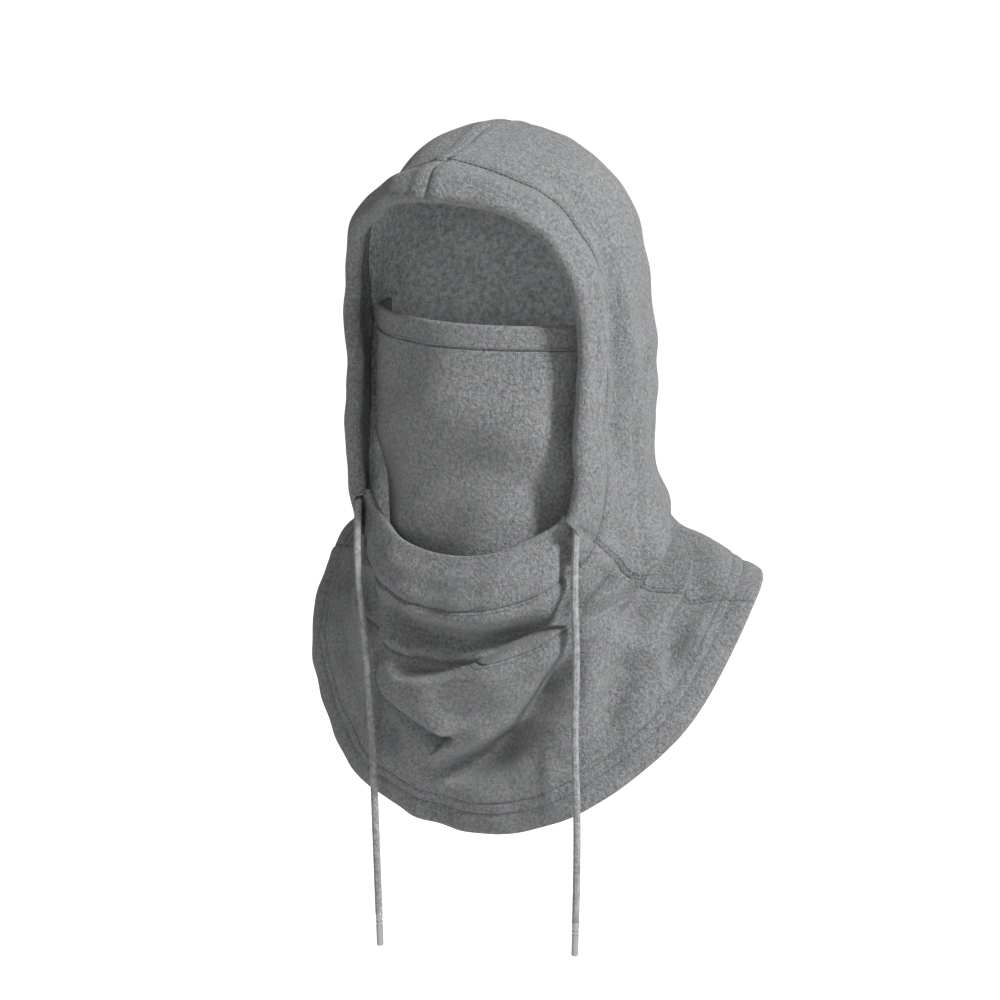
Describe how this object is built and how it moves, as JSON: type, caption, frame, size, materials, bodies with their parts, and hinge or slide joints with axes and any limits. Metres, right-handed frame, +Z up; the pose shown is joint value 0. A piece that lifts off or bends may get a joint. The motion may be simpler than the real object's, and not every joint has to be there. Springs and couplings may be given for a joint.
{
  "type": "balaclava",
  "caption": "Hooded fleece balaclava with a face mask, a drawcord in the casing around the face and a cape over the shoulders.",
  "frame": {"origin": "the point inside the crown where the top of the wearer's head rests (mount head)", "axes": "+Z up; the wearer faces -Y and the wearer's left is +X"},
  "size_m": [0.3214, 0.2343, 0.5437],
  "materials": {
    "fleece": "brushed micro fleece, matte",
    "thread": "spun polyester thread",
    "cord": "knitted round cord, heather",
    "aglet": "satin"
  },
  "bodies": {
    "root": {"casing_left": "fleece", "casing_right": "fleece", "side_panel_left": "fleece", "side_panel_right": "fleece", "collar": "fleece", "throat_panel": "fleece", "front_bib": "fleece", "mask_panel": "fleece", "casing_seam_thread_left": "thread", "casing_seam_thread_right": "thread", "collar_seam_thread": "thread", "throat_seam_thread": "thread", "casing_centre_thread": "thread", "crown_seam_thread": "thread", "front_seam_thread_left": "thread", "front_seam_thread_right": "thread", "hem_thread_outer": "thread", "hem_thread_inner": "thread", "drawcord_arch": "cord"},
    "mask_top": {"mask_hem": "fleece", "mask_hem_thread": "thread"},
    "cord_left": {"drawcord_side_left": "cord", "drawcord_tail_left": "cord", "aglet_left": "aglet"},
    "cord_right": {"drawcord_side_right": "cord", "drawcord_tail_right": "cord", "aglet_right": "aglet"}
  },
  "joints": [
    {"name": "mask_pull_down", "type": "slide", "parent": "root", "child": "mask_top", "axis": [0, 0, -1], "range_m": [0, 0.105], "deforming": ["mask_panel"]},
    {"name": "cord_left_pull", "type": "slide", "parent": "root", "child": "cord_left", "axis": [-0.0586, -0.059, -0.9965], "range_m": [0, 0.03]},
    {"name": "cord_right_pull", "type": "slide", "parent": "root", "child": "cord_right", "axis": [0.0586, -0.059, -0.9965], "range_m": [0, 0.03]}
  ]
}
